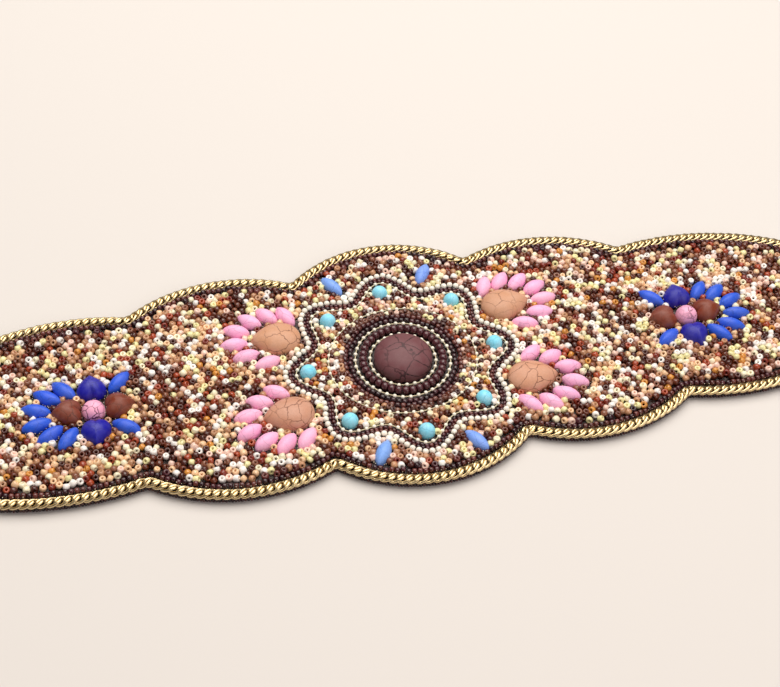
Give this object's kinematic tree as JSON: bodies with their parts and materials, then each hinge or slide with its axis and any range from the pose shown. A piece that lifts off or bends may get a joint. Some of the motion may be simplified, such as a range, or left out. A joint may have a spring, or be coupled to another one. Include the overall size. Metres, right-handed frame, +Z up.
{
  "type": "bead-embroidered elastic belt",
  "caption": "Wide waist belt laid open: a scalloped felt panel embroidered with seed beads and stones, a chain edge, stretch bands and a plain hook clasp.",
  "frame": {"origin": "middle of the belt's underside, on the surface that the belt lies on", "axes": "+X along the belt towards its clasp eye, +Y across it towards its far edge, +Z up out of the beaded face"},
  "size_m": [0.66, 0.1076, 0.0099],
  "materials": {
    "felt": "dense dark felt, matt",
    "gold_chain": "gilt, polished",
    "seed_mix": "opaque glossy seed beads in cream, tan, brown and rust",
    "dark_seeds": "opaque glossy dark plum-brown seed beads",
    "cream_seeds": "opaque pearly cream seed beads",
    "ball_string": "small cream-gold balls fused on a thread",
    "oxblood_beads": "opaque glossy oxblood beads",
    "plum_stone": "satin dyed stone with dark crack veins",
    "tan_stone": "satin dyed stone with fine brown veins",
    "turquoise_stone": "satin dyed stone",
    "light_blue_stone": "satin dyed stone",
    "pink_stone": "satin dyed stone with a few grey veins",
    "dark_blue_stone": "satin dyed stone",
    "brown_stone": "satin dyed stone",
    "blue_stone": "satin dyed stone",
    "elastic": "ribbed woven stretch band",
    "steel_clasp": "plain pressed plate"
  },
  "bodies": {
    "root": {"blue_fan_left": "blue_stone", "blue_fan_right": "blue_stone", "blue_petal_far_left": "blue_stone", "blue_petal_far_right": "blue_stone", "blue_petal_near_left": "blue_stone", "blue_petal_near_right": "blue_stone", "brown_heart_inner_left": "brown_stone", "brown_heart_inner_right": "brown_stone", "brown_heart_outer_left": "brown_stone", "brown_heart_outer_right": "brown_stone", "centre_cabochon": "plum_stone", "clasp_eye": "steel_clasp", "clasp_hook": "steel_clasp", "dark_blue_heart_far_left": "dark_blue_stone", "dark_blue_heart_far_right": "dark_blue_stone", "dark_blue_heart_near_left": "dark_blue_stone", "dark_blue_heart_near_right": "dark_blue_stone", "edge_chain": "gold_chain", "elastic_band_left": "elastic", "elastic_band_right": "elastic", "eye_ball_string": "ball_string", "eye_dark_field": "dark_seeds", "felt_backing": "felt", "inner_ball_ring": "ball_string", "light_blue_marquise_far_left": "light_blue_stone", "light_blue_marquise_far_right": "light_blue_stone", "light_blue_marquise_near_left": "light_blue_stone", "light_blue_marquise_near_right": "light_blue_stone", "outer_ball_ring": "ball_string", "oxblood_bead_ring": "oxblood_beads", "pink_fan_far_left": "pink_stone", "pink_fan_far_right": "pink_stone", "pink_fan_near_left": "pink_stone", "pink_fan_near_right": "pink_stone", "pink_round_left": "pink_stone", "pink_round_right": "pink_stone", "seed_field": "seed_mix", "star_ball_string": "ball_string", "star_cream_row": "cream_seeds", "star_dark_row": "dark_seeds", "star_field": "seed_mix", "tan_drop_far_left": "tan_stone", "tan_drop_far_right": "tan_stone", "tan_drop_near_left": "tan_stone", "tan_drop_near_right": "tan_stone", "turquoise_dot_1": "turquoise_stone", "turquoise_dot_2": "turquoise_stone", "turquoise_dot_3": "turquoise_stone", "turquoise_dot_4": "turquoise_stone", "turquoise_dot_5": "turquoise_stone", "turquoise_dot_6": "turquoise_stone", "turquoise_dot_7": "turquoise_stone", "turquoise_dot_8": "turquoise_stone"}
  },
  "joints": []
}
